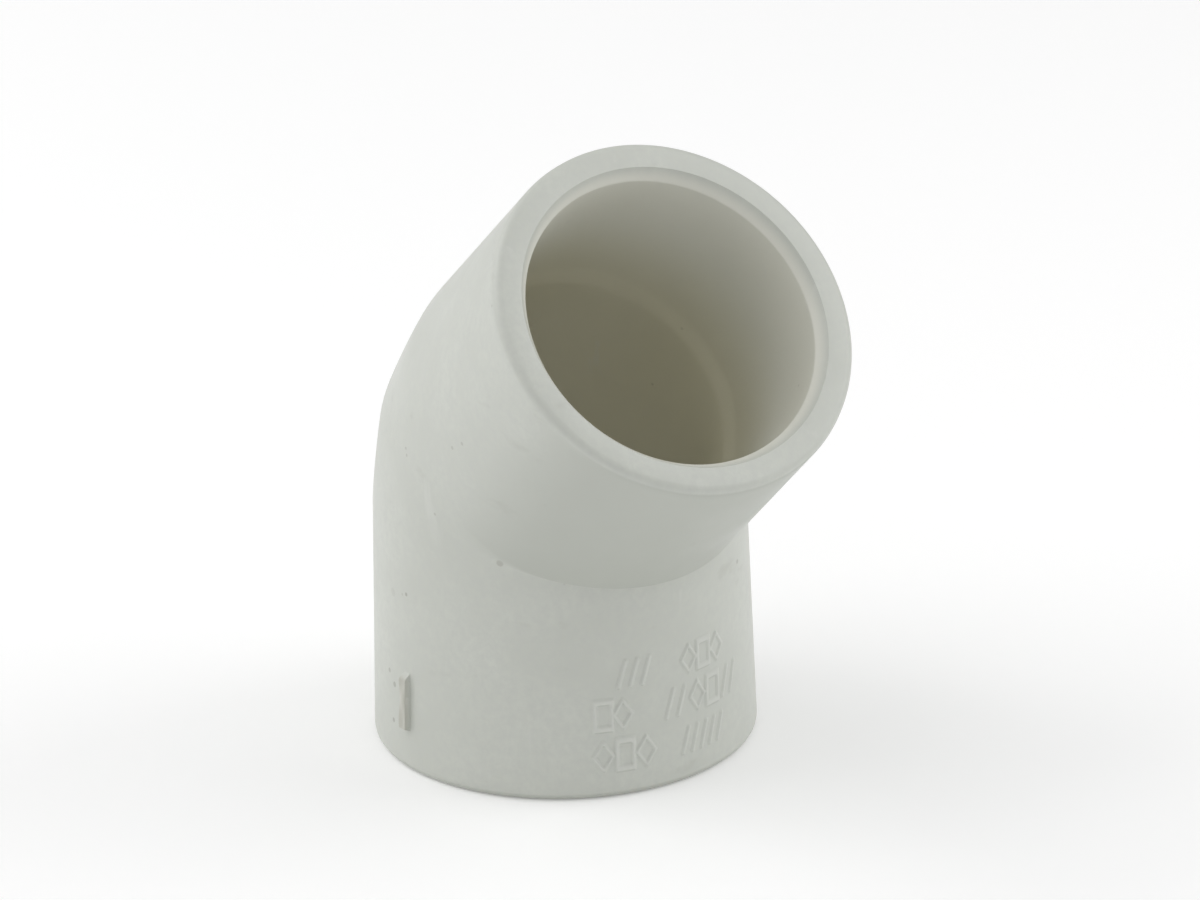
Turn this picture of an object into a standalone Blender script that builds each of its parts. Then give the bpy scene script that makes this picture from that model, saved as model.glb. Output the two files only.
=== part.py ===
"""45 degree slip by slip elbow for DN25 pressure pipe, injection moulded in one piece of PVC.

The elbow is the same on both sides of a mid plane. One half is drawn around the axis of the lower
socket, column by column, and mirrored across that plane. A column runs down the outside from the
mid plane to the mouth, round the rim, and up the socket and the waterway to the mid plane again.

The heel is the outer side of the bend and the throat is its inner side. Both are thicker than the
walls between them. The heel is also a little flattened, so it has three soft corners: one at the top
of each socket and one on the mid plane.

Metres, +Z up. The fitting stands on its lower mouth at z = 0 and its upper socket leans towards +X.
The origin is at the bottom centre of the whole fitting's bounding box.
"""

import math

import bmesh
import bpy
from mathutils import Vector

# Driving dimensions, in metres and degrees.
BEND_ANGLE = math.radians(45)
CENTRE_TO_FACE = 0.0331  # from where the two axes cross to the face of each mouth
BEND_RADIUS = 0.0142  # of the centreline, which is tighter than the outside radius
OUTER_RADIUS = 0.0210  # of the socket at its mouth
OUTSIDE_DRAFT = math.radians(1.85)  # the sockets widen towards their mouths
HEEL_THICKENING = 0.06  # added to the outside radius in the middle of the heel, as a share of it
THROAT_THICKENING = 0.038  # the same in the middle of the throat
HEEL_FLATTENING = 0.6  # 0 is a round heel, 1 is one flat from corner to corner
RIM_ROUNDING = 0.0010
FACE_INNER_RADIUS = 0.0179  # where the lead-in starts
LEAD_IN_DEPTH = 0.0014
SOCKET_MOUTH_RADIUS = 0.0169  # just inside the lead-in
SOCKET_ROOT_RADIUS = 0.0167  # at the pipe stop: a 33.6 mm pipe wedges between the two
SOCKET_DEPTH = 0.0228
WATERWAY_RADIUS = 0.0161
PIPE_STOP_LENGTH = 0.0024  # along the axis: the stop is a low cone from the socket to the waterway
GATE_TAB_OFFSET = 0.00045  # towards +X from the plane through the lower socket's axis
GATE_TAB_WIDTH = 0.0012
GATE_TAB_BOTTOM = 0.0049
GATE_TAB_HEIGHT = 0.0069
GATE_TAB_PROUD = 0.0006
GATE_TAB_ROOT = 0.0010  # how far the tab reaches into the wall
GATE_TAB_ROUNDING = 0.0002

SEGMENTS = 72
RIM_STEPS = 3
RUN_UP_STEPS = 2
HEEL_STEPS = 6
WATERWAY_STEPS = 4
SHORTEST_BEND = 0.0015  # rows near the mid plane spread over at least this length of each column
TAB_ROUNDING_STEPS = 2

# What follows from them. The straight part ends at BEND_START, on the plane through the bend's centre.
HALF_BEND = BEND_ANGLE / 2
BEND_START = CENTRE_TO_FACE - BEND_RADIUS * math.tan(HALF_BEND)
RUN_UP_START = CENTRE_TO_FACE - OUTER_RADIUS * math.tan(HALF_BEND) - 2 * SHORTEST_BEND
RIM_CENTRE_RADIUS = OUTER_RADIUS - RIM_ROUNDING
TUBE_RADIUS = OUTER_RADIUS - math.tan(OUTSIDE_DRAFT) * (BEND_START - RIM_ROUNDING)
HEEL_RADIUS = TUBE_RADIUS * (1 + HEEL_THICKENING)
HIGHEST_X = (CENTRE_TO_FACE - RIM_ROUNDING + RIM_CENTRE_RADIUS) * math.sin(BEND_ANGLE) + RIM_ROUNDING
LOWER_AXIS_X = (HEEL_RADIUS - HIGHEST_X) / 2

MID_PLANE_NORMAL = Vector((math.sin(HALF_BEND), 0, math.cos(HALF_BEND)))
AXES_CROSSING = Vector((0, 0, CENTRE_TO_FACE))


def clear_scene():
    for obj in list(bpy.data.objects):
        bpy.data.objects.remove(obj, do_unlink=True)


def pvc_material():
    material = bpy.data.materials.new("pvc_off_white")
    material.use_nodes = True
    shader = material.node_tree.nodes["Principled BSDF"]
    shader.inputs["Base Color"].default_value = (0.66, 0.67, 0.63, 1)
    shader.inputs["Roughness"].default_value = 0.42
    shader.inputs["Metallic"].default_value = 0.0
    material.diffuse_color = (0.66, 0.67, 0.63, 1)
    return material


def tube_radius(azimuth):
    """Outside radius where the bend starts: larger on the heel, at -X, and on the throat, at +X."""
    thickening = THROAT_THICKENING if math.cos(azimuth) > 0 else HEEL_THICKENING
    return TUBE_RADIUS * (1 + thickening * math.cos(azimuth) ** 2)


def round_bend(angle):
    return 1


def flattened_bend(angle):
    """The heel's reach as a share of a round one's, with its corners at angle 0 and on the mid plane."""
    flat = math.cos(HALF_BEND / 2) / math.cos(angle - HALF_BEND / 2)
    return 1 - HEEL_FLATTENING * (1 - flat)


def around(azimuth, radius, height):
    return Vector((radius * math.cos(azimuth), radius * math.sin(azimuth), height))


def bend_column(azimuth, foot, radius, steps, reach_share):
    """Points along one column of a bent tube, from its foot up to the mid plane.

    foot is the radius and height it starts from. The column goes straight up to BEND_START and then
    round the bend's centre. A column beyond that centre never bends: it meets the mid plane on its
    way up, which makes the crease of the throat.
    """
    x = radius * math.cos(azimuth)
    swing = BEND_RADIUS - x
    top = min(BEND_START, CENTRE_TO_FACE - x * math.tan(HALF_BEND))
    arc = max(swing, 0) * HALF_BEND
    foot_radius, foot_height = foot
    borrowed = min(max(SHORTEST_BEND - arc, 0), (top - foot_height) / 2)
    run_up = top - borrowed - foot_height
    heights = [foot_height + run_up * step / RUN_UP_STEPS for step in range(RUN_UP_STEPS)]
    lengths = [(borrowed + arc) * step / steps - borrowed for step in range(steps + 1)]
    heights += [top + length for length in lengths if length <= 0]
    points = []
    for height in heights:
        share = (height - foot_height) / (top - foot_height)
        points.append(around(azimuth, foot_radius + (radius - foot_radius) * share, height))
    for length in lengths:
        if length > 0:
            angle = length / swing
            reach = swing * reach_share(angle)
            points.append(
                Vector((
                    BEND_RADIUS - reach * math.cos(angle),
                    radius * math.sin(azimuth),
                    BEND_START + reach * math.sin(angle),
                ))
            )
    return points


def half_column(azimuth):
    radius = tube_radius(azimuth)
    run_up_share = (RUN_UP_START - RIM_ROUNDING) / (BEND_START - RIM_ROUNDING)
    run_up_radius = OUTER_RADIUS + (radius - OUTER_RADIUS) * run_up_share
    outside = bend_column(azimuth, (run_up_radius, RUN_UP_START), radius, HEEL_STEPS, flattened_bend)
    points = outside[::-1]
    for step in range(RIM_STEPS + 1):
        turn = math.pi / 2 * step / RIM_STEPS
        rim_radius = RIM_CENTRE_RADIUS + RIM_ROUNDING * math.cos(turn)
        points.append(around(azimuth, rim_radius, RIM_ROUNDING * (1 - math.sin(turn))))
    points.append(around(azimuth, FACE_INNER_RADIUS, 0))
    points.append(around(azimuth, SOCKET_MOUTH_RADIUS, LEAD_IN_DEPTH))
    points.append(around(azimuth, SOCKET_ROOT_RADIUS, SOCKET_DEPTH))
    foot = (WATERWAY_RADIUS, SOCKET_DEPTH + PIPE_STOP_LENGTH)
    points += bend_column(azimuth, foot, WATERWAY_RADIUS, WATERWAY_STEPS, round_bend)
    return points


def mirrored(point):
    """The point on the other side of the mid plane, which passes through the axes' crossing."""
    return point - 2 * (point - AXES_CROSSING).dot(MID_PLANE_NORMAL) * MID_PLANE_NORMAL


def bridge(mesh, columns, flipped):
    for index, column in enumerate(columns):
        following = columns[(index + 1) % len(columns)]
        for step in range(len(column) - 1):
            corners = [column[step], column[step + 1], following[step + 1], following[step]]
            mesh.faces.new(reversed(corners) if flipped else corners)


def add_object(name, mesh, material):
    data = bpy.data.meshes.new(name)
    mesh.to_mesh(data)
    mesh.free()
    data.materials.append(material)
    obj = bpy.data.objects.new(name, data)
    bpy.context.scene.collection.objects.link(obj)
    return obj


def make_elbow(material):
    mesh = bmesh.new()
    lower, upper = [], []
    for segment in range(SEGMENTS):
        points = half_column(2 * math.pi * segment / SEGMENTS)
        column = [mesh.verts.new(point) for point in points]
        inner_points = points[1:-1]
        other_side = [mesh.verts.new(mirrored(point)) for point in inner_points]
        lower.append(column)
        upper.append([column[0], *other_side, column[-1]])
    bridge(mesh, lower, flipped=False)
    bridge(mesh, upper, flipped=True)
    bmesh.ops.translate(mesh, verts=mesh.verts, vec=Vector((LOWER_AXIS_X, 0, 0)))
    elbow = add_object("elbow_body", mesh, material)
    elbow.data.shade_smooth()
    elbow.data.set_sharp_from_angle(angle=math.radians(28))
    return elbow


def make_gate_tab(material):
    """The witness of the moulding gate: a short upright tab on the -Y side of the lower socket."""
    mesh = bmesh.new()
    bmesh.ops.create_cube(mesh, size=1)
    depth = GATE_TAB_PROUD + GATE_TAB_ROOT
    middle = GATE_TAB_BOTTOM + GATE_TAB_HEIGHT / 2
    wall = OUTER_RADIUS - math.tan(OUTSIDE_DRAFT) * (middle - RIM_ROUNDING)
    bmesh.ops.scale(mesh, verts=mesh.verts, vec=Vector((GATE_TAB_WIDTH, depth, GATE_TAB_HEIGHT)))
    outer_edges = [edge for edge in mesh.edges if all(vert.co.y < 0 for vert in edge.verts)]
    bmesh.ops.bevel(
        mesh, geom=outer_edges, offset=GATE_TAB_ROUNDING, segments=TAB_ROUNDING_STEPS,
        affect="EDGES", profile=0.5,
    )
    tab = add_object("gate_tab", mesh, material)
    tab.location = (LOWER_AXIS_X + GATE_TAB_OFFSET, -wall - GATE_TAB_PROUD + depth / 2, middle)
    tab.hide_render = True
    tab.display_type = "WIRE"
    return tab


def join_tab(elbow, tab):
    union = elbow.modifiers.new("gate_tab", "BOOLEAN")
    union.operation = "UNION"
    union.solver = "EXACT"
    union.object = tab


clear_scene()
pvc = pvc_material()
body = make_elbow(pvc)
join_tab(body, make_gate_tab(pvc))
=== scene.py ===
"""Looks of a 45 degree PVC pressure elbow: one moulding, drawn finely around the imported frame.

The frame's one node, elbow_body, is the faceted solid. The piece made here, elbow_moulding, has the same
design with a fine surface: a stepped lead-in, a filleted throat, softened corners on the heel, the gate
tab with its cut face, moulding marks in relief, and the small knocks of a part that has been handled.

The moulding is one grid, closed both ways round. A column runs from the mid plane down the outside to a
mouth, round the rim, and up the inside to the mid plane again, and then back along the other half. A
row goes once round the pipe's axis. Metres, in the frame's own axes.
"""

import math

import bpy
import numpy as np
from mathutils import Matrix, Vector


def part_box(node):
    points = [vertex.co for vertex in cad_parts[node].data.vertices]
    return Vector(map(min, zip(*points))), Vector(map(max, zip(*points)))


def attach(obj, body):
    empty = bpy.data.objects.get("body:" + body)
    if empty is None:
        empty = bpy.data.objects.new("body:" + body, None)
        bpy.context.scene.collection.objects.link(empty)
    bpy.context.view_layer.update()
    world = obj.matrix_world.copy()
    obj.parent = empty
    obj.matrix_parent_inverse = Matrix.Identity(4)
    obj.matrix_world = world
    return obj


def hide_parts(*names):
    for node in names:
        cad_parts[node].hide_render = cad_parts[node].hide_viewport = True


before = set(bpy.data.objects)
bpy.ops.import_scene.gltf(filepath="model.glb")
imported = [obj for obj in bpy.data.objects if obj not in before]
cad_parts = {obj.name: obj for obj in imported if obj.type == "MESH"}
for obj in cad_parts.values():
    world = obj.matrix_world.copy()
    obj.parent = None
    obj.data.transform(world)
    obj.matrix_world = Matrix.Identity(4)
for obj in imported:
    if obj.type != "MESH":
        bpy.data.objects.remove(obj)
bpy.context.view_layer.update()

MM = 0.001

# The elbow's driving dimensions, as in the frame.
HALF_BEND = math.radians(22.5)
CENTRE_TO_FACE = 33.1 * MM
BEND_RADIUS = 14.2 * MM
OUTER_RADIUS = 21.0 * MM
OUTSIDE_DRAFT = math.radians(1.85)
HEEL_THICKENING = 0.06
THROAT_THICKENING = 0.038
HEEL_FLATTENING = 0.6
RIM_ROUNDING = 1.0 * MM
FACE_INNER_RADIUS = 17.9 * MM
LEAD_IN_DEPTH = 1.4 * MM
SOCKET_MOUTH_RADIUS = 16.9 * MM
SOCKET_ROOT_RADIUS = 16.7 * MM
SOCKET_DEPTH = 22.8 * MM
WATERWAY_RADIUS = 16.1 * MM
PIPE_STOP_LENGTH = 2.4 * MM

# Details and softened corners that the frame leaves out.
THROAT_FILLET = 0.9 * MM
LEAD_IN_STEP = 0.1 * MM
LEAD_IN_STEP_WIDTH = 0.06 * MM
LEAD_IN_STEP_ROUNDING = 0.04 * MM
LEAD_IN_ROUNDING = 0.5 * MM
STOP_ROUNDING = 5.5 * MM
CORNER_SMOOTHINGS = 10
SHARP_ANGLE = math.radians(50)  # edges sharper than this, such as the gate tab's, stay crisp

# The gate tab, on the -Y side of the lower socket.
TAB_AZIMUTH = math.radians(-89.9)
TAB_WIDTH = 1.2 * MM
TAB_BOTTOM = 4.9 * MM
TAB_HEIGHT = 6.9 * MM
TAB_PROUD = 0.7 * MM
TAB_SIDE = 0.1 * MM

# Raised moulding marks, on the +X side of the lower socket.
MARK_RELIEF = 0.16 * MM
MARK_STROKE = 0.4 * MM
MARK_EDGE = 0.16 * MM
MARKS_BOTTOM = 2.9 * MM
MARKS_TOP = 16.7 * MM

# Each motif: kind, azimuth in degrees, height of its middle, width and height in mm. None is a letter.
MOTIFS = (
    ("diamond", -22.4, 5.1, 2.2, 3.3), ("frame", -15.7, 5.1, 1.9, 3.3), ("diamond", -9.0, 5.1, 2.2, 3.3),
    ("slant", 5.0, 5.0, 0.9, 2.9), ("slant", 8.6, 5.0, 0.9, 2.9), ("slant", 12.2, 5.0, 0.9, 2.9),
    ("slant", 15.8, 5.0, 0.9, 2.9), ("slant", 19.4, 5.0, 0.9, 2.9),
    ("frame", -22.2, 9.9, 1.9, 3.2), ("diamond", -16.2, 9.9, 2.1, 3.2),
    ("slant", -0.6, 9.9, 1.0, 3.2), ("slant", 3.6, 9.9, 1.0, 3.2), ("diamond", 9.8, 9.9, 2.1, 3.2),
    ("frame", 16.4, 9.9, 1.9, 3.2), ("slant", 22.6, 9.9, 1.0, 3.2), ("slant", 26.8, 9.9, 1.0, 3.2),
    ("slant", -16.2, 14.6, 0.9, 3.0), ("slant", -12.4, 14.6, 0.9, 3.0), ("slant", -8.6, 14.6, 0.9, 3.0),
    ("diamond", 6.6, 14.6, 2.0, 3.0), ("frame", 12.6, 14.6, 1.8, 3.0), ("diamond", 18.6, 14.6, 2.0, 3.0),
)

# Colours, all linear.
SKIN_COLOUR = (0.622, 0.642, 0.587)
DULL_COLOUR = (0.572, 0.590, 0.537)
GRAIN_COLOUR = (0.575, 0.592, 0.548)
# Grey handling smudges; the same colour is also painted shade along the lower rim.
SMUDGE_AND_BASE_SHADE_COLOUR = (0.490, 0.500, 0.450)
# Pale scuffs; the same colour is also the painted highlight on the raised marks.
SCUFF_AND_HIGHLIGHT_COLOUR = (0.700, 0.710, 0.670)
# The tab's rough cut face, and also painted shade on the tab's sides.
CUT_AND_SHADE_COLOUR = (0.500, 0.480, 0.410)
# Painted shade on the outside where it faces down.
UNDERSIDE_SHADE_COLOUR = (0.490, 0.508, 0.460)
SPECK_COLOUR = (0.200, 0.190, 0.150)
# Painted light inside: the mouth paler, and the socket further in warmer, for light through the wall and
# bounced round the inside.
MOUTH_LIT_COLOUR = (0.740, 0.742, 0.675)
BORE_BOUNCE_COLOUR = (0.690, 0.665, 0.535)

# Knocks and specks on the outside: place in mm, radius in mm, strength.
SPOTS = (
    ((-8.4, -20.4, 20.8), 0.28, 0.45), ((-8.5, -19.8, 38.0), 0.22, 0.30), ((-8.2, -19.9, 37.3), 0.22, 0.30),
    ((4.2, -16.3, 27.9), 0.50, 0.30), ((16.4, -6.2, 29.6), 0.40, 0.35), ((17.1, -4.7, 29.7), 0.30, 0.30),
    ((1.6, -20.4, 41.7), 0.28, 0.25), ((3.6, -20.4, 42.9), 0.28, 0.25), ((14.2, -16.8, 38.4), 0.35, 0.22),
    ((9.0, 11.5, 22.4), 0.32, 0.32), ((-10.9, -20.5, 9.2), 0.40, 0.40), ((-12.2, -20.3, 10.4), 0.35, 0.35),
    ((-11.1, -20.6, 4.9), 0.35, 0.40), ((-8.6, -20.6, 0.5), 0.55, 0.45), ((-11.3, -20.2, 20.0), 0.60, 0.12),
)

# Columns: azimuth in degrees and spacing from there on, finer at the tab and at the marks.
COLUMN_STOPS = (
    (-180, 1.75), (-110, 1.0), (-94, 0.25), (-84, 1.2), (-27, 0.4), (33, 1.2), (60, 1.75), (180, 0),
)

# Rows of the bend, as shares of half its angle: from the mid plane to its start, closer at both corners.
BEND_ROW_SHARES = (
    1, 0.975, 0.95, 0.925, 0.9, 0.87, 0.83, 0.76, 0.66, 0.56,
    0.46, 0.36, 0.26, 0.18, 0.13, 0.1, 0.075, 0.05, 0.025, 0,
)

# Rows of the straight outside: close ones next to the bend, and then those at the same height all round.
CORNER_ROWS = 7
CORNER_ROW_SPACING = 0.35 * MM
CORNER_ROW_SHARE = 0.12  # at most, of the way down to the first height that all columns share
MARK_ROWS = 92
ROWS_BELOW_MARKS = (2.1 * MM, 1.5 * MM)
UPPER_ROWS = (16.7 * MM, 13 * MM, 9.5 * MM, 6.5 * MM, 4 * MM, 2.6 * MM, 1.7 * MM)

# Rows of the inside.
ROUNDING_STEPS = 4
LONGEST_INNER_STEP = 2.4 * MM
WATERWAY_STEPS = 6

CAMERA_AZIMUTH = -33.572
CAMERA_ELEVATION = 23.524
CAMERA_ROLL = -1.371
CAMERA_DISTANCE = 2.1
CAMERA_TO_RIGHT = 4.455 * MM
CAMERA_DOWN = 0.381 * MM
CAMERA_LENS = 576.5
CAMERA_SENSOR = 36

WORLD_STRENGTH = 0.368
FLOOR_REACH = 8.0
FLOOR_COLOUR = (0.9, 0.9, 0.9)
FLOOR_GLOW = 0.167

# Softboxes: name, azimuth and elevation in degrees, power in watts. They stand round the elbow's middle.
SOFTBOXES = (
    ("key_left", -123, 40, 0.855), ("key_high", -90, 60, 0.444), ("front_fill", -33, 50, 0.213),
    ("back_left", -160, 30, 0.708), ("back_right", 60, 30, 1.218), ("back_high", 90, 65, 0.402),
)
SOFTBOX_SIZE = 0.5
SOFTBOX_DISTANCE = 0.6
ELBOW_MIDDLE = Vector((0, 0, 0.035))

BEND_START = CENTRE_TO_FACE - BEND_RADIUS * math.tan(HALF_BEND)
TUBE_RADIUS = OUTER_RADIUS - math.tan(OUTSIDE_DRAFT) * (BEND_START - RIM_ROUNDING)
LOWER_AXIS_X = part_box("elbow_body")[0].x + TUBE_RADIUS * (1 + HEEL_THICKENING)
CROSSING = np.array((LOWER_AXIS_X, 0, CENTRE_TO_FACE))
MID_PLANE_NORMAL = np.array((math.sin(HALF_BEND), 0, math.cos(HALF_BEND)))


def spaced(stops):
    """Values from the first stop up to the last, which is left out."""
    values = []
    for (start, spacing), (end, _) in zip(stops, stops[1:]):
        count = max(1, round((end - start) / spacing))
        values += [start + (end - start) * step / count for step in range(count)]
    return np.array(values)


def smooth_step(low, high, value):
    share = np.clip((value - low) / (high - low), 0, 1)
    return share * share * (3 - 2 * share)


def rounded(corners, steps):
    """A polyline through corners of (radius, height, rounding), with each rounding drawn as an arc."""
    points = []
    for index, (radius, height, rounding) in enumerate(corners):
        corner = np.array((radius, height))
        if rounding == 0:
            points.append(corner)
            continue
        before = np.array(corners[index - 1][:2]) - corner
        after = np.array(corners[index + 1][:2]) - corner
        before /= np.linalg.norm(before)
        after /= np.linalg.norm(after)
        half_angle = math.acos(np.clip(before @ after, -1, 1)) / 2
        middle = (before + after) / np.linalg.norm(before + after)
        centre = corner + middle * rounding / math.sin(half_angle)
        first = corner + before * rounding / math.tan(half_angle) - centre
        last = corner + after * rounding / math.tan(half_angle) - centre
        turn = math.acos(np.clip(first @ last / rounding**2, -1, 1))
        for step in range(steps + 1):
            angle = turn * step / steps
            arm = math.sin(turn - angle) * first + math.sin(angle) * last
            points.append(centre + arm / math.sin(turn))
    return points


def with_steps(points, longest):
    """The polyline with its long stretches split."""
    result = [points[0]]
    for start, end in zip(points, points[1:]):
        count = max(1, math.ceil(np.linalg.norm(end - start) / longest))
        result += [start + (end - start) * step / count for step in range(1, count + 1)]
    return result


def turned_row(azimuths, radius, height):
    radius = np.broadcast_to(radius, azimuths.shape)
    return np.stack((
        radius * np.cos(azimuths),
        radius * np.sin(azimuths),
        np.broadcast_to(height, azimuths.shape),
    ), axis=1)


def bend_rows(azimuths, radius, angles, flattening):
    """Rows of a bent tube, one for each angle turned, and the height where each column starts to turn.

    Each column turns about the bend's centre. A column near or beyond that centre turns on the fillet
    instead, which leaves the crease of the throat.
    """
    x = radius * np.cos(azimuths)
    swing = BEND_RADIUS - x
    swing = (swing + np.sqrt(swing**2 + 4 * THROAT_FILLET**2)) / 2
    start = CENTRE_TO_FACE - (x + swing) * math.tan(HALF_BEND)
    rows = []
    for angle in angles:
        flat = math.cos(HALF_BEND / 2) / math.cos(angle - HALF_BEND / 2)
        reach = swing * (1 - flattening * (1 - flat))
        rows.append(np.stack((
            x + swing - reach * math.cos(angle),
            radius * np.sin(azimuths),
            start + reach * math.sin(angle),
        ), axis=1))
    return rows, start


def stroke_distance(kind, across, up, width, height):
    """Distance from the middle of a motif's stroke, with across and up measured from the motif's middle."""
    if kind == "slant":
        beyond_ends = np.maximum(np.abs(up) - height / 2, 0)
        return np.hypot(across - np.clip(up, -height / 2, height / 2) * width / height, beyond_ends)
    across, up = np.abs(across) / (width / 2), abs(up) / (height / 2)
    size = across + up if kind == "diamond" else np.maximum(across, up)
    return np.abs(size - 1) * min(width, height) / 2


def mark_relief(azimuths, height):
    """The marks' share of their full relief along one row."""
    inner_edge = (MARK_STROKE - MARK_EDGE) / 2
    outer_edge = (MARK_STROKE + MARK_EDGE) / 2
    relief = np.zeros_like(azimuths)
    for kind, azimuth, middle, width, tall in MOTIFS:
        across = (azimuths - math.radians(azimuth)) * OUTER_RADIUS
        distance = stroke_distance(kind, across, height - middle * MM, width * MM, tall * MM)
        relief = np.maximum(relief, 1 - smooth_step(inner_edge, outer_edge, distance))
    return relief


def tab_relief(azimuths, height):
    """The gate tab's share of its full standing height. Its top end tapers and its cut face is uneven."""
    across = (azimuths - TAB_AZIMUTH) * OUTER_RADIUS
    side = 1 - smooth_step(TAB_WIDTH / 2 - TAB_SIDE, TAB_WIDTH / 2, np.abs(across))
    along = (height - TAB_BOTTOM) / TAB_HEIGHT
    ends = smooth_step(0, 0.03, along) * (1 - smooth_step(0.86, 1, along))
    cut = 1 - 0.12 * math.sin(9 * along) * np.sin(across / TAB_WIDTH * 5 + 1)
    return side * ends * cut


def outer_rows(azimuths, heights, marked):
    """Rows of the outside, from the mid plane down to the lower mouth, and how far each stands proud.

    heights are those of the straight outside that every column shares, highest first. Above them the
    rows spread out to where each column starts to bend.
    """
    thickening = np.where(np.cos(azimuths) > 0, THROAT_THICKENING, HEEL_THICKENING)
    root_radius = TUBE_RADIUS * (1 + thickening * np.cos(azimuths) ** 2)
    towards_heel = smooth_step(-0.2, 0.5, -np.cos(azimuths))
    angles = [HALF_BEND * share for share in BEND_ROW_SHARES]
    rows, start = bend_rows(azimuths, root_radius, angles, HEEL_FLATTENING * towards_heel)

    def outside(height):
        share = (height - RIM_ROUNDING) / (start - RIM_ROUNDING)
        return OUTER_RADIUS + (root_radius - OUTER_RADIUS) * share

    spacing = np.minimum(CORNER_ROW_SPACING, CORNER_ROW_SHARE * (start - heights[0]))
    for step in range(1, CORNER_ROWS + 1):
        height = start - step * spacing
        rows.append(turned_row(azimuths, outside(height), height))
    reliefs = [np.zeros_like(azimuths)] * len(rows)
    for height in heights:
        relief = np.zeros_like(azimuths)
        if marked:
            relief = mark_relief(azimuths, height) * MARK_RELIEF + tab_relief(azimuths, height) * TAB_PROUD
        rows.append(turned_row(azimuths, outside(height) + relief, height))
        reliefs.append(relief)
    return rows, reliefs


def inner_rows(azimuths):
    """Rows round the rim, up the socket and the waterway to the mid plane, and how far in each one is.

    The first and last corners of the profile only give it its directions.
    """
    profile = rounded((
        (OUTER_RADIUS, 2 * RIM_ROUNDING, 0),
        (OUTER_RADIUS, 0, RIM_ROUNDING),
        (FACE_INNER_RADIUS + LEAD_IN_STEP_WIDTH, 0, LEAD_IN_STEP_ROUNDING),
        (FACE_INNER_RADIUS, LEAD_IN_STEP, LEAD_IN_STEP_ROUNDING),
        (SOCKET_MOUTH_RADIUS, LEAD_IN_DEPTH, LEAD_IN_ROUNDING),
        (SOCKET_ROOT_RADIUS, SOCKET_DEPTH, STOP_ROUNDING),
        (WATERWAY_RADIUS, SOCKET_DEPTH + PIPE_STOP_LENGTH, STOP_ROUNDING),
        (WATERWAY_RADIUS, BEND_START, 0),
    ), ROUNDING_STEPS)
    profile = with_steps(profile[1:-1], LONGEST_INNER_STEP)
    rows = [turned_row(azimuths, radius, height) for radius, height in profile]
    depths = [height if radius < FACE_INNER_RADIUS else 0 for radius, height in profile]
    angles = [HALF_BEND * step / WATERWAY_STEPS for step in range(WATERWAY_STEPS + 1)]
    bend, _ = bend_rows(azimuths, WATERWAY_RADIUS, angles, 0)
    return rows + bend, depths + [BEND_START] * len(bend)


def mirrored(points):
    """The points on the other side of the mid plane."""
    return points - 2 * ((points - CROSSING) @ MID_PLANE_NORMAL)[..., None] * MID_PLANE_NORMAL


def smooth_corners(grid):
    """Soften the bend's corners along each column, from the mid plane at row 0 out to the straight parts."""
    reach = len(BEND_ROW_SHARES) + CORNER_ROWS - 2
    rows = np.arange(-reach, reach + 1)
    for _ in range(CORNER_SMOOTHINGS):
        between = (np.roll(grid, 1, axis=0) + 2 * grid + np.roll(grid, -1, axis=0)) / 4
        grid[rows] = between[rows]


def mesh_object(name, grid, material):
    """A grid of rows and columns, closed both ways round, as a smooth mesh."""
    row_count, column_count = grid.shape[:2]
    index = np.arange(row_count * column_count).reshape(row_count, column_count)
    next_row = np.roll(index, -1, axis=0)
    next_column = np.roll(index, -1, axis=1)
    corner = np.roll(next_row, -1, axis=1)
    faces = np.stack((index, next_row, corner, next_column), axis=-1).reshape(-1, 4)
    data = bpy.data.meshes.new(name)
    data.from_pydata(grid.reshape(-1, 3).tolist(), [], faces.tolist())
    data.shade_smooth()
    data.set_sharp_from_angle(angle=SHARP_ANGLE)
    data.materials.append(material)
    obj = bpy.data.objects.new(name, data)
    bpy.context.scene.collection.objects.link(obj)
    return obj


def add_attribute(obj, name, values):
    attribute = obj.data.attributes.new(name, "FLOAT", "POINT")
    attribute.data.foreach_set("value", np.asarray(values, np.float32).ravel())


def whole(lower, upper):
    """The values of both halves' rows in the grid's order. The two rows on the mid plane come once."""
    return np.concatenate((lower, upper[-2:0:-1]))


def make_elbow(material):
    azimuths = np.radians(spaced(COLUMN_STOPS))
    mark_spacing = (MARKS_TOP - MARKS_BOTTOM) / MARK_ROWS
    lower_heights = [MARKS_TOP - mark_spacing * step for step in range(MARK_ROWS + 1)]
    lower_heights += ROWS_BELOW_MARKS
    lower, lower_relief = outer_rows(azimuths, lower_heights, marked=True)
    upper, upper_relief = outer_rows(azimuths, UPPER_ROWS, marked=False)
    inside, inside_depths = inner_rows(azimuths)
    on_axis = (LOWER_AXIS_X, 0, 0)
    grid = whole(np.array(lower + inside) + on_axis, mirrored(np.array(upper + inside) + on_axis))
    smooth_corners(grid)
    elbow = mesh_object("elbow_moulding", grid, material)

    flat = [np.zeros_like(azimuths)] * len(inside)
    relief = whole(lower_relief + flat, upper_relief + flat)
    depth = whole([0.0] * len(lower) + inside_depths, [0.0] * len(upper) + inside_depths)
    tab = np.clip((relief - MARK_RELIEF) / (TAB_PROUD - MARK_RELIEF), 0, 1)
    add_attribute(elbow, "tab", tab)
    add_attribute(elbow, "mark", np.clip(relief / MARK_RELIEF, 0, 1) * (tab == 0))
    add_attribute(elbow, "depth", np.broadcast_to(depth[:, None], relief.shape))
    return elbow


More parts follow.
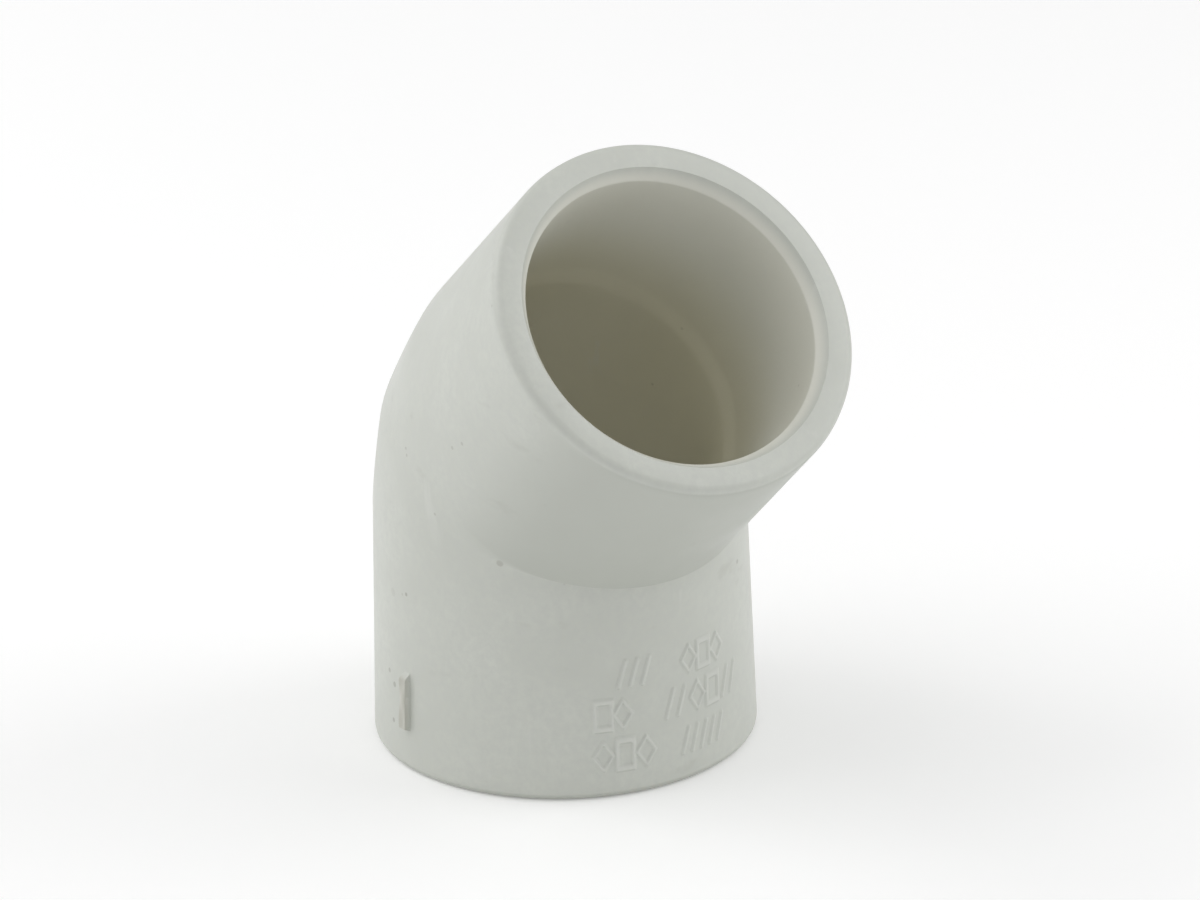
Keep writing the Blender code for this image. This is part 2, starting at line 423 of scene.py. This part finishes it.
class Nodes:
    """A material's node tree, with each kind of node in one call.

    A node's inputs are given by their sockets' names, with _ for a space, or as n_ and the socket's number.
    """

    def __init__(self, name):
        self.material = bpy.data.materials.new(name)
        self.material.use_nodes = True
        self.tree = self.material.node_tree
        self.shader = self.tree.nodes["Principled BSDF"]
        self.place = self.tree.nodes.new("ShaderNodeTexCoord").outputs["Object"]

    def add(self, kind, settings=None, **inputs):
        node = self.tree.nodes.new(kind)
        for name, value in (settings or {}).items():
            setattr(node, name, value)
        for name, value in inputs.items():
            socket = int(name.removeprefix("n_")) if name.startswith("n_") else name.replace("_", " ")
            self.feed(node.inputs[socket], value)
        return node

    def feed(self, socket, value):
        if isinstance(value, bpy.types.NodeSocket):
            self.tree.links.new(value, socket)
        else:
            socket.default_value = value

    def noise(self, scale, detail=2.0, place=None, roughness=0.5):
        place = place or self.place
        node = self.add("ShaderNodeTexNoise", Vector=place, Scale=scale, Detail=detail, Roughness=roughness)
        return node.outputs["Fac"]

    def stretched(self, along):
        """The object's coordinates, scaled so that a pattern is longer where along is smaller."""
        return self.add("ShaderNodeMapping", Vector=self.place, Scale=along).outputs[0]

    def spread(self, value, low, high, to_low=0.0, to_high=1.0, smooth=True):
        node = self.add(
            "ShaderNodeMapRange", {"interpolation_type": "SMOOTHSTEP" if smooth else "LINEAR"},
            Value=value, From_Min=low, From_Max=high, To_Min=to_low, To_Max=to_high,
        )
        return node.outputs[0]

    def maths(self, operation, first, second):
        return self.add("ShaderNodeMath", {"operation": operation}, n_0=first, n_1=second).outputs[0]

    def upward(self, vector):
        return self.add("ShaderNodeSeparateXYZ", Vector=vector).outputs["Z"]

    def mixed(self, share, first, second):
        node = self.add("ShaderNodeMix", {"data_type": "RGBA"}, n_0=share, n_6=first, n_7=second)
        return node.outputs[2]

    def tinted(self, share, strength, first, colour):
        """The first colour with another over it, at strength where share is 1."""
        return self.mixed(self.maths("MULTIPLY", share, strength), first, (*colour, 1))

    def attribute(self, name):
        return self.add("ShaderNodeAttribute", {"attribute_name": name}).outputs["Fac"]

    def spot(self, centre, radius):
        """1 within radius of a point on the skin, fading to 0 just outside it."""
        away = self.add("ShaderNodeVectorMath", {"operation": "DISTANCE"}, n_0=self.place, n_1=centre)
        return self.spread(away.outputs["Value"], radius * 0.6, radius, 1.0, 0.0)


def plastic():
    """Off-white PVC, satin as moulded: faintly mottled, with specks and scuffs, and painted light inside: a
    pale mouth and a warmer socket.
    """
    nodes = Nodes("pvc_off_white")
    cloudy = nodes.spread(nodes.noise(90, 4, roughness=0.65), 0.3, 0.7, smooth=False)
    colour = nodes.mixed(cloudy, (*DULL_COLOUR, 1), (*SKIN_COLOUR, 1))
    grain = nodes.spread(nodes.noise(1100, 3, roughness=0.7), 0.35, 0.65, 0.0, 0.9, smooth=False)
    colour = nodes.mixed(grain, colour, (*GRAIN_COLOUR, 1))

    # Handling marks: soft grey smudges, wider than they are tall.
    smudges = nodes.spread(nodes.noise(240, 3, nodes.stretched((0.6, 0.6, 1.3)), 0.6), 0.62, 0.78)
    colour = nodes.tinted(smudges, 0.5, colour, SMUDGE_AND_BASE_SHADE_COLOUR)

    # Painted light inside: pale at the mouth, warmer and a little darker further in, standing in for light
    # that passes through the wall and bounces round the socket.
    depth = nodes.attribute("depth")
    inside_painted_light = nodes.mixed(nodes.spread(depth, 9 * MM, 26 * MM), (*MOUTH_LIT_COLOUR, 1), (*BORE_BOUNCE_COLOUR, 1))
    colour = nodes.mixed(nodes.spread(depth, 0, 1.2 * MM), colour, inside_painted_light)

    # Scuffs: short pale upright strokes in patches.
    strokes = nodes.noise(420, 3, nodes.stretched((1, 1, 0.12)), 0.6)
    patches = nodes.spread(nodes.noise(120, 2), 0.52, 0.66)
    scuffs = nodes.maths("MULTIPLY", nodes.spread(strokes, 0.6, 0.72), patches)
    colour = nodes.tinted(scuffs, 0.3, colour, SCUFF_AND_HIGHLIGHT_COLOUR)

    # Specks in the plastic, few and far apart, and then the larger knocks.
    cells = nodes.add("ShaderNodeTexVoronoi", Vector=nodes.place, Scale=330.0)
    chance = nodes.add("ShaderNodeSeparateColor", Color=cells.outputs["Color"]).outputs["Red"]
    rare = nodes.spread(chance, 0.93, 0.94)
    speck = nodes.maths("MULTIPLY", nodes.spread(cells.outputs["Distance"], 0.02, 0.09, 1.0, 0.0), rare)
    colour = nodes.tinted(speck, 0.3, colour, SPECK_COLOUR)
    for place, radius, strength in SPOTS:
        spot = nodes.spot([length * MM for length in place], radius * MM)
        colour = nodes.tinted(spot, strength, colour, SPECK_COLOUR)

    # Painted highlight: the raised marks are paler, where their strokes catch the light.
    colour = nodes.tinted(nodes.attribute("mark"), 0.35, colour, SCUFF_AND_HIGHLIGHT_COLOUR)
    # Darker and browner over the tab: its rough cut face, and painted shade on its sides.
    colour = nodes.tinted(nodes.attribute("tab"), 0.5, colour, CUT_AND_SHADE_COLOUR)
    # Painted shade: darker along the lower rim, where it stands on the floor.
    base_shade = nodes.spread(nodes.upward(nodes.place), 0, 0.5 * MM, 0.4, 0.0)
    colour = nodes.mixed(base_shade, colour, (*SMUDGE_AND_BASE_SHADE_COLOUR, 1))

    # Painted shade: darker where the outside faces down, to take back some of the light the pale floor
    # throws up from below.
    facing = nodes.add("ShaderNodeNewGeometry").outputs["Normal"]
    underside_shade = nodes.spread(nodes.upward(facing), -0.15, -0.5)
    outside = nodes.spread(depth, 0, 0.5 * MM, 1.0, 0.0)
    colour = nodes.tinted(underside_shade, outside, colour, UNDERSIDE_SHADE_COLOUR)
    nodes.feed(nodes.shader.inputs["Base Color"], colour)

    satin = nodes.spread(nodes.noise(150, 3), 0.3, 0.7, 0.36, 0.47, smooth=False)
    roughness = nodes.maths("ADD", satin, nodes.maths("MULTIPLY", scuffs, 0.15))
    nodes.feed(nodes.shader.inputs["Roughness"], roughness)
    nodes.shader.inputs["IOR"].default_value = 1.53

    # The mould's own finish: fine grain over slow waves.
    finish = nodes.maths("ADD", nodes.noise(2600, 2), nodes.maths("MULTIPLY", nodes.noise(160, 1), 6.0))
    bump = nodes.add("ShaderNodeBump", Strength=0.12, Distance=0.06 * MM, Height=finish)
    nodes.feed(nodes.shader.inputs["Normal"], bump.outputs[0])
    return nodes.material


def make_floor():
    mesh = bpy.data.meshes.new("floor")
    signs = ((-1, -1), (1, -1), (1, 1), (-1, 1))
    mesh.from_pydata([(x * FLOOR_REACH, y * FLOOR_REACH, 0) for x, y in signs], [], [(0, 1, 2, 3)])
    floor = bpy.data.objects.new("floor", mesh)
    bpy.context.scene.collection.objects.link(floor)
    material = bpy.data.materials.new("floor_pale")
    material.use_nodes = True
    shader = material.node_tree.nodes["Principled BSDF"]
    shader.inputs["Base Color"].default_value = (*FLOOR_COLOUR, 1)
    shader.inputs["Roughness"].default_value = 0.9
    shader.inputs["Emission Color"].default_value = (1, 1, 1, 1)
    shader.inputs["Emission Strength"].default_value = FLOOR_GLOW
    mesh.materials.append(material)


def direction(azimuth, elevation):
    """A unit vector away from the object. Azimuth is in degrees about +Z from +X."""
    turn, rise = math.radians(azimuth), math.radians(elevation)
    return Vector((math.cos(turn) * math.cos(rise), math.sin(turn) * math.cos(rise), math.sin(rise)))


def make_camera():
    """A long lens looking down on the upper mouth, with the axes' crossing left of the picture's middle."""
    back = direction(CAMERA_AZIMUTH, CAMERA_ELEVATION)
    roll = Matrix.Rotation(math.radians(CAMERA_ROLL), 3, back)
    right = roll @ Vector((0, 0, 1)).cross(back).normalized()
    up = back.cross(right)
    camera = bpy.data.objects.new("camera", bpy.data.cameras.new("camera"))
    camera.data.lens = CAMERA_LENS
    camera.data.sensor_width = CAMERA_SENSOR
    camera.data.clip_end = 20
    rotation = Matrix((right, up, back)).transposed().to_4x4()
    place = Vector(CROSSING) + back * CAMERA_DISTANCE + right * CAMERA_TO_RIGHT - up * CAMERA_DOWN
    camera.matrix_world = Matrix.Translation(place) @ rotation
    bpy.context.scene.collection.objects.link(camera)
    bpy.context.scene.camera = camera


def make_world():
    world = bpy.data.worlds.new("studio")
    world.use_nodes = True
    background = world.node_tree.nodes["Background"]
    background.inputs["Color"].default_value = (1, 1, 1, 1)
    background.inputs["Strength"].default_value = WORLD_STRENGTH
    bpy.context.scene.world = world


def make_softbox(name, azimuth, elevation, power):
    light = bpy.data.lights.new(name, "AREA")
    light.shape = "DISK"
    light.size = SOFTBOX_SIZE
    light.energy = power
    lamp = bpy.data.objects.new(name, light)
    aim = direction(azimuth, elevation)
    lamp.location = ELBOW_MIDDLE + aim * SOFTBOX_DISTANCE
    lamp.rotation_mode = "QUATERNION"
    lamp.rotation_quaternion = aim.to_track_quat("Z", "Y")
    bpy.context.scene.collection.objects.link(lamp)


make_camera()
elbow = make_elbow(plastic())
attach(elbow, "root")
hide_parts("elbow_body")
make_floor()
make_world()
for softbox in SOFTBOXES:
    make_softbox(*softbox)

bpy.context.scene.view_settings.view_transform = "Standard"
